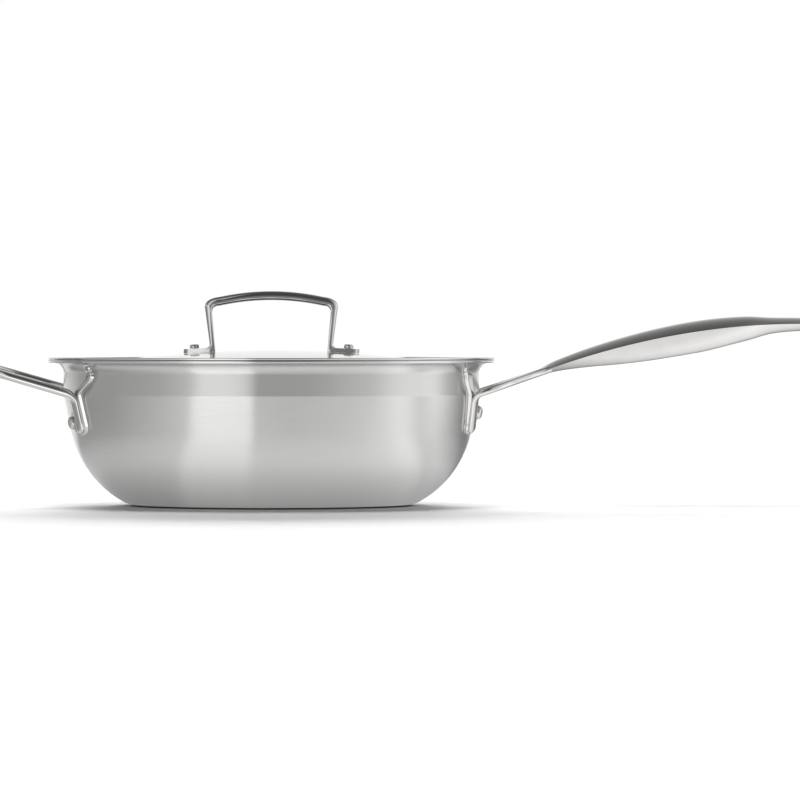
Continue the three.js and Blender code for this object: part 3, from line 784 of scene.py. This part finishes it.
def grip_solid(start, start_level):
    sections = []

    def add_section(share, x, shrink):
        half, crown, keel = grip_form(share)
        left = max(0, 1 - (x - start) / GRIP_ARCH)
        flat = sqrt(shrink)
        level = start_level + GRIP_RISE * (1 - left ** 2)
        sections.append(grip_ring(x, level, half * shrink, crown * flat, keel * flat))

    for i in range(GRIP_STEPS + 1):
        add_section(i / GRIP_STEPS, start + GRIP_LENGTH * i / GRIP_STEPS, 1)
    end_round = GRIP_FORM[-1][1]
    end = start + GRIP_LENGTH + EYE_REACH - end_round
    for i in range(GRIP_END_STEPS):
        turn = pi / 2 * i / GRIP_END_STEPS
        add_section(1, end + end_round * sin(turn), cos(turn))
    return skinned("grip", sections)


def forked_handle():
    plane_up = Vector((-sin(FORK_SLOPE), 0, cos(FORK_SLOPE)))
    fork_end = RIM_RADIUS + FORK_REACH
    grip_start = fork_end - STRAP_WIDTH / 2
    corner, head, legs = root_legs(LONG_FOOT, FORK_SLOPE)

    def level_at(x):
        return corner.z + (x - corner.x) * tan(FORK_SLOPE)

    arm = [
        head,
        Vector((head.x + FORK_REACH / 2, head.y, level_at(head.x + FORK_REACH / 2))),
        Vector((fork_end - FORK_REACH / 2, 2 * FORK_END_HALF, level_at(fork_end - FORK_REACH / 2))),
        Vector((fork_end + FORK_END_HALF, FORK_END_HALF, level_at(fork_end + FORK_END_HALF))),
    ]
    piece = grip_solid(grip_start, level_at(grip_start))
    piece.name = piece.data.name = "forked_handle"
    legs.append((arm, FORK_STEPS, FORK_END_THICKNESS, None))
    strap = skinned("strap", strap_sections(legs, plane_up))
    pad = foot_pad(LONG_FOOT)
    for part in (strap, pad):
        twin = mirrored(part, part.name + "_twin")
        combine(piece, part, "UNION")
        combine(piece, twin, "UNION")
    slot_round = SLOT_WIDTH / 2
    slot_far = grip_start + GRIP_LENGTH + EYE_REACH - SLOT_EDGE - slot_round
    slot_near = slot_far - SLOT_LENGTH + SLOT_WIDTH
    slot = arc((slot_far, 0), slot_round, -pi / 2, pi / 2) + arc((slot_near, 0), slot_round, pi / 2, 1.5 * pi)
    slot_tool = pressed("slot", [Vector((x, y, RIM_HEIGHT)) for x, y in slot], UP * RIM_HEIGHT)
    combine(piece, slot_tool, "DIFFERENCE")
    shade(piece)
    return piece


# Helper handle, made along +X and turned to the other side
def loop_handle():
    plane_up = Vector((-sin(LOOP_SLOPE), 0, cos(LOOP_SLOPE)))
    end = RIM_RADIUS + LOOP_REACH
    corner, head, legs = root_legs(HELPER_FOOT, LOOP_SLOPE)

    def on_loop(x, y):
        return Vector((x, y, corner.z + (x - corner.x) * tan(LOOP_SLOPE)))

    arm_end = on_loop(end - LOOP_CORNER, corner.y)
    bar_start = on_loop(end, corner.y - LOOP_CORNER)
    loop = [
        ([head, arm_end], LOOP_ARM_STEPS, LOOP_THICKNESS, None),
        ([arm_end, on_loop(end, corner.y), bar_start], LOOP_CORNER_STEPS, LOOP_THICKNESS, None),
        ([bar_start, on_loop(end, 0)], LOOP_BAR_STEPS, LOOP_THICKNESS, None),
    ]
    half = strap_sections([*legs, *loop], plane_up)
    rest = [[Vector((p.x, -p.y, p.z)) for p in ring] for ring in reversed(half[:-1])]
    piece = skinned("loop_handle", half + rest)
    pad = foot_pad(HELPER_FOOT)
    twin = mirrored(pad, "pad_twin")
    combine(piece, pad, "UNION")
    combine(piece, twin, "UNION")
    turned(piece, Matrix.Rotation(pi, 4, "Z"))
    shade(piece)
    return piece


# Rivets
def rivet(name, size, grip, place):
    """A headed pin with a turned chamfer on its head and a rounded tail inside, set at a place."""
    tail = -grip - size["tail_height"]
    tail_centre = (size["tail"] - size["tail_round"], tail + size["tail_round"])
    edge = size["edge"]
    rim = size["height"] - size["chamfer"]
    profile = [
        (0, tail),
        *arc(tail_centre, size["tail_round"], -pi / 2, 0),
        (size["tail"], -grip),
        (size["shank"], -grip),
        (size["shank"], 0),
        (size["head"] - edge, 0),
        (size["head"], edge),
        (size["head"], rim - edge),
        (size["head"] - edge / 2, rim + edge / 2),
        (size["head"] - size["chamfer"] + edge / 2, size["height"] - edge / 2),
        (size["head"] - size["chamfer"] - edge, size["height"]),
        (0, size["height"]),
    ]
    return turned(spun(name, held(profile, RIVET_HOLD), RIVET_STEPS), place)


def wall_rivet_place(foot, turn, side):
    """On the pad's outer face, square to the wall."""
    height = CREASE_HEIGHT - foot["drop"]
    radius, lean = wall_at(height)
    angle = turn + side * asin(foot["rivet"] / radius)
    normal = Vector((cos(lean) * cos(angle), cos(lean) * sin(angle), -sin(lean)))
    spot = Vector((radius * cos(angle), radius * sin(angle), height)) + normal * (PLATE_OFFSET + SEAT_GAP)
    return Matrix.Translation(spot * MM) @ UP.rotation_difference(normal).to_matrix().to_4x4()


def lid_rivet_place(side):
    """On a foot of the lid handle, square to the dome."""
    out = FOOT_END - FOOT_EDGE
    level = dome_at(out, LID_SHEET) + 2 * SEAT_GAP + FOOT_THICKNESS
    lean = side * asin(out / (DOME_RADIUS + LID_SHEET))
    return Matrix.Translation(Vector((side * out, 0, level)) * MM) @ Matrix.Rotation(lean, 4, "Y")


# Materials
def linear(code):
    """A colour written as sRGB hex, in linear light."""
    channels = [int(code[i:i + 2], 16) / 255 for i in (1, 3, 5)]
    return [c / 12.92 if c <= 0.04045 else ((c + 0.055) / 1.055) ** 2.4 for c in channels] + [1]


def node(tree, kind, inputs=(), **settings):
    """Adds a node with its settings, and sets or links its inputs."""
    made = tree.nodes.new(kind)
    for name, value in settings.items():
        setattr(made, name, value)
    for name, value in dict(inputs).items():
        if isinstance(value, bpy.types.NodeSocket):
            tree.links.new(value, made.inputs[name])
        else:
            made.inputs[name].default_value = value
    return made


def turned_steel(name, colour, shade_colour, roughness, spread, line, depth, rim_polish=1):
    """Stainless sheet polished on a lathe: fine lines run round it, so highlights smear up and down.

    The lines are drawn coarser than real ones, so that they show. The rim can be buffed brighter than
    the rest, by a share of its roughness.
    """
    material = bpy.data.materials.new(name)
    material.use_nodes = True
    tree = material.node_tree
    shader = tree.nodes["Principled BSDF"]
    place = node(tree, "ShaderNodeTexCoord").outputs["Object"]
    level = node(tree, "ShaderNodeVectorMath", {0: place, 1: (1, 1, 0)}, operation="MULTIPLY").outputs[0]
    radius = node(tree, "ShaderNodeVectorMath", {0: level}, operation="LENGTH").outputs["Value"]
    bearing = node(tree, "ShaderNodeVectorMath", {0: level}, operation="NORMALIZE").outputs[0]
    stroke = STROKE_LINES * line / (2 * pi) * MM
    around = node(tree, "ShaderNodeVectorMath", {0: bearing, "Scale": stroke}, operation="SCALE")
    height = node(tree, "ShaderNodeVectorMath", {0: place, 1: (0, 0, 1)}, operation="MULTIPLY").outputs[0]
    spot = node(tree, "ShaderNodeVectorMath", {0: around.outputs[0], 1: height}, operation="ADD").outputs[0]
    lines = node(
        tree,
        "ShaderNodeTexNoise",
        {"Vector": spot, "W": radius, "Scale": 1 / (line * MM), "Detail": 3},
        noise_dimensions="4D",
    ).outputs["Fac"]
    cloud = node(tree, "ShaderNodeTexNoise", {"Vector": place, "Scale": 1 / (CLOUD_SIZE * MM)}).outputs["Fac"]
    tint = node(
        tree,
        "ShaderNodeMix",
        {"Factor": cloud, "A": linear(colour), "B": linear(shade_colour)},
        data_type="RGBA",
    )
    finish = node(tree, "ShaderNodeMapRange", {
        "Value": lines, "From Min": LINE_SPAN[0], "From Max": LINE_SPAN[1],
        "To Min": roughness * LINE_SHARES[0], "To Max": roughness * LINE_SHARES[1]}).outputs[0]
    buffed = node(tree, "ShaderNodeMapRange", {
        "Value": radius, "From Min": (RIM_RADIUS - RIM_BUFF) * MM, "From Max": (RIM_RADIUS - RIM_INSET) * MM,
        "To Min": 1, "To Max": rim_polish}).outputs[0]
    finish = node(tree, "ShaderNodeMath", {0: finish, 1: buffed}, operation="MULTIPLY").outputs[0]
    bump = node(tree, "ShaderNodeBump", {
        "Height": lines, "Strength": depth, "Distance": LINE_BUMP * MM}).outputs[0]
    tangent = node(tree, "ShaderNodeTangent", direction_type="RADIAL", axis="Z").outputs[0]
    tree.links.new(tint.outputs["Result"], shader.inputs["Base Color"])
    tree.links.new(finish, shader.inputs["Roughness"])
    tree.links.new(bump, shader.inputs["Normal"])
    tree.links.new(tangent, shader.inputs["Tangent"])
    shader.inputs["Metallic"].default_value = 1
    shader.inputs["Anisotropic"].default_value = spread
    shader.inputs["Anisotropic Rotation"].default_value = QUARTER_TURN
    return material


def polished_steel(name, colour, shade_colour, roughness, ripple, depth):
    """Cast stainless steel, tumbled and buffed: a near mirror with a slight ripple and soft wear."""
    material = bpy.data.materials.new(name)
    material.use_nodes = True
    tree = material.node_tree
    shader = tree.nodes["Principled BSDF"]
    place = node(tree, "ShaderNodeTexCoord").outputs["Object"]
    waves = node(tree, "ShaderNodeTexNoise", {
        "Vector": place, "Scale": 1 / (ripple * MM), "Detail": 2}).outputs["Fac"]
    scuffs = node(tree, "ShaderNodeTexNoise", {
        "Vector": place, "Scale": 1 / (SCUFF_SIZE * MM), "Detail": 4, "Roughness": 0.7}).outputs["Fac"]
    tint = node(
        tree,
        "ShaderNodeMix",
        {"Factor": waves, "A": linear(colour), "B": linear(shade_colour)},
        data_type="RGBA",
    )
    finish = node(tree, "ShaderNodeMapRange", {
        "Value": scuffs, "From Min": SCUFF_SPAN[0], "From Max": SCUFF_SPAN[1],
        "To Min": roughness * SCUFF_SHARES[0], "To Max": roughness * SCUFF_SHARES[1]}).outputs[0]
    bump = node(tree, "ShaderNodeBump", {
        "Height": waves, "Strength": depth, "Distance": RIPPLE_BUMP * MM}).outputs[0]
    tree.links.new(tint.outputs["Result"], shader.inputs["Base Color"])
    tree.links.new(finish, shader.inputs["Roughness"])
    tree.links.new(bump, shader.inputs["Normal"])
    shader.inputs["Metallic"].default_value = 1
    return material


# Stage
def bearing_grey(tree, greys):
    """A grey that follows the bearing round the pan, in degrees to the right of the camera's line."""
    place = node(tree, "ShaderNodeTexCoord").outputs["Object"]
    turned_place = node(tree, "ShaderNodeMapping", {"Vector": place, "Rotation": (0, 0, pi / 2)})
    angle = node(tree, "ShaderNodeTexGradient", {"Vector": turned_place.outputs[0]}, gradient_type="RADIAL")
    ramp = node(tree, "ShaderNodeValToRGB", {"Fac": angle.outputs["Fac"]})
    stops = ramp.color_ramp.elements
    for stop, (where, grey) in zip([stops[0], stops[1]], [greys[0], greys[-1]]):
        stop.position = 0.5 + where / 360
        stop.color = (grey, grey, grey, 1)
    for where, grey in greys[1:-1]:
        stops.new(0.5 + where / 360).color = (grey, grey, grey, 1)
    return ramp.outputs["Color"]


def room_card(low, high):
    """A card all round the pan, from one edge of the room to the next, that only reflections see."""
    name, low_radius, low_height, low_greys = low
    high_radius, high_height, high_greys = high[1:]
    piece = spun(name, [(low_radius, low_height), (high_radius, high_height)], ROOM_STEPS)
    material = bpy.data.materials.new(name)
    material.use_nodes = True
    tree = material.node_tree
    tree.nodes.clear()
    place = node(tree, "ShaderNodeTexCoord").outputs["Object"]
    reach = node(tree, "ShaderNodeVectorMath", {0: place}, operation="LENGTH").outputs["Value"]
    height = node(tree, "ShaderNodeSeparateXYZ", {"Vector": place}).outputs["Z"]
    flat = low_height == high_height
    value, start, end = (reach, low_radius, high_radius) if flat else (height, low_height, high_height)
    share = node(tree, "ShaderNodeMapRange", {"Value": value, "From Min": start * MM, "From Max": end * MM})
    grey = node(tree, "ShaderNodeMix", {
        "Factor": share.outputs[0], "A": bearing_grey(tree, low_greys), "B": bearing_grey(tree, high_greys),
    }, data_type="RGBA")
    # The glow is cut towards the pan's base: a painted shadow of the pan on the table cards
    level = node(tree, "ShaderNodeMapRange", {
        "Value": reach, "From Min": BASE_RADIUS * MM, "From Max": RIM_RADIUS * MM,
        "To Min": PAINTED_TABLE_SHADOW, "To Max": 1})
    glow = node(tree, "ShaderNodeEmission", {"Color": grey.outputs["Result"], "Strength": level.outputs[0]})
    node(tree, "ShaderNodeOutputMaterial", {"Surface": glow.outputs[0]})
    piece.data.materials.append(material)
    piece.visible_camera = piece.visible_diffuse = piece.visible_shadow = False


def white_world():
    """White to the eye, to mirrors and to glass, and a softer fill for matt surfaces."""
    world = bpy.data.worlds.new("white_studio")
    bpy.context.scene.world = world
    world.use_nodes = True
    tree = world.node_tree
    rays = node(tree, "ShaderNodeLightPath").outputs
    seen = rays["Is Camera Ray"]
    for kind in ("Is Glossy Ray", "Is Transmission Ray"):
        seen = node(tree, "ShaderNodeMath", {0: seen, 1: rays[kind]}, operation="MAXIMUM").outputs[0]
    level = node(tree, "ShaderNodeMapRange", {"Value": seen, "To Min": FILL, "To Max": 1})
    tree.links.new(level.outputs[0], tree.nodes["Background"].inputs["Strength"])
    tree.nodes["Background"].inputs["Color"].default_value = (1, 1, 1, 1)


def broad_light(name, share, bearing, height, spread):
    """A soft far light that gives its share of the floor's white and shows in no reflection."""
    data = bpy.data.lights.new(name, "SUN")
    data.energy = pi * share / sin(radians(height))
    data.angle = radians(spread)
    made = bpy.data.objects.new(name, data)
    bpy.context.scene.collection.objects.link(made)
    made.rotation_euler = (radians(height - 90), 0, radians(bearing - 180))
    made.visible_glossy = False


def studio():
    bpy.context.scene.view_settings.view_transform = "Standard"
    white_world()
    for light in LIGHTS:
        broad_light(*light)
    bpy.ops.object.select_all(action="DESELECT")
    bpy.ops.mesh.primitive_plane_add(size=FLOOR_SIZE)
    floor = bpy.context.object
    floor.name = "floor"
    white = bpy.data.materials.new("matt_white_board")
    white.use_nodes = True
    surface = white.node_tree.nodes["Principled BSDF"]
    surface.inputs["Base Color"].default_value = linear("#FFFFFF")
    surface.inputs["Roughness"].default_value = 1
    surface.inputs["Specular IOR Level"].default_value = 0
    floor.data.materials.append(white)
    for low, high in zip(ROOM, ROOM[1:]):
        room_card(low, high)


def camera():
    """The photograph's eye: a little above the lid, far back, looking along +Y and slightly down."""
    data = bpy.data.cameras.new("photo_camera")
    made = bpy.data.objects.new("photo_camera", data)
    bpy.context.scene.collection.objects.link(made)
    made.location = EYE
    made.rotation_euler = (AIM - EYE).to_track_quat("-Z", "Y").to_euler()
    data.sensor_width = SENSOR
    data.lens = LENS
    data.clip_end = VIEW_END
    bpy.context.scene.camera = made


def dress(piece, node_name, body, material):
    """The piece stands for a CAD node, rides on its body and wears a material."""
    piece.data.materials.clear()
    piece.data.materials.append(material)
    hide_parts(node_name)
    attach(piece, body)


camera()
studio()

# Outer sheet, turned to a satin: soft highlights that smear up and down, and a bright buffed rim
satin = turned_steel(
    "turned_stainless_satin", "#C9C9C8", "#C1C1C0",
    roughness=0.22, spread=1.0, line=0.8, depth=0.05, rim_polish=0.35)

# Cooking face, turned a little coarser: a duller and wider smear
satin_inside = turned_steel(
    "turned_stainless_cooking_face", "#D4D4D2", "#CACAC8",
    roughness=0.3, spread=0.8, line=0.9, depth=0.08, rim_polish=0.3)

# Lid, pressed from polished sheet: a clear mirror with a slight haze
mirror = turned_steel(
    "pressed_stainless_mirror", "#DCDCDB", "#D4D4D3", roughness=0.07, spread=0.5, line=0.8, depth=0.02)

# Handles, cast and buffed: a near mirror with a slow ripple
cast = polished_steel("cast_stainless_polished", "#DCDBD9", "#D2D1CF", roughness=0.06, ripple=9, depth=0.1)

# Rivets, cold headed and left as made: duller than the castings
pin = polished_steel("headed_stainless_rivet", "#D6D5D3", "#CBCAC8", roughness=0.18, ripple=2, depth=0.1)

# Core, rolled aluminium: a thin pale line in the rim's cut edge
alloy = polished_steel("rolled_aluminium_core", "#DDDEDD", "#D0D1D0", roughness=0.1, ripple=3, depth=0.1)

core_outside = -OUTER_PLY - BOND_FILM
inner_outside = core_outside - CORE_PLY - BOND_FILM
outer_wall = pan_ply("pan_outer_wall", 0, OUTER_PLY, low_round=RIM_ROUND)
dress(outer_wall, "pan_outer_ply", "pan", satin)
core_sheet = pan_ply("pan_core_sheet", core_outside, CORE_PLY)
dress(core_sheet, "pan_core_ply", "pan", alloy)
cooking_wall = pan_ply("pan_cooking_wall", inner_outside, INNER_PLY, high_round=RIM_ROUND)
dress(cooking_wall, "pan_inner_ply", "pan", satin_inside)
dress(forked_handle(), "long_handle", "pan", cast)
dress(loop_handle(), "helper_handle", "pan", cast)
dress(lid_shell(), "lid", "lid", mirror)
dress(lid_arch(), "lid_handle", "lid", cast)

for side_name, side in (("front", -1), ("back", 1)):
    for handle, foot, turn, way in (("long", LONG_FOOT, 0, side), ("helper", HELPER_FOOT, pi, -side)):
        place = wall_rivet_place(foot, turn, way)
        pin_piece = rivet(f"{handle}_pin_{side_name}", WALL_RIVET, WALL_GRIP, place)
        dress(pin_piece, f"{handle}_handle_rivet_{side_name}", "pan", pin)

for side_name, side in (("left", -1), ("right", 1)):
    pin_piece = rivet(f"lid_pin_{side_name}", LID_RIVET, LID_GRIP, lid_rivet_place(side))
    dress(pin_piece, f"lid_rivet_{side_name}", "lid", pin)
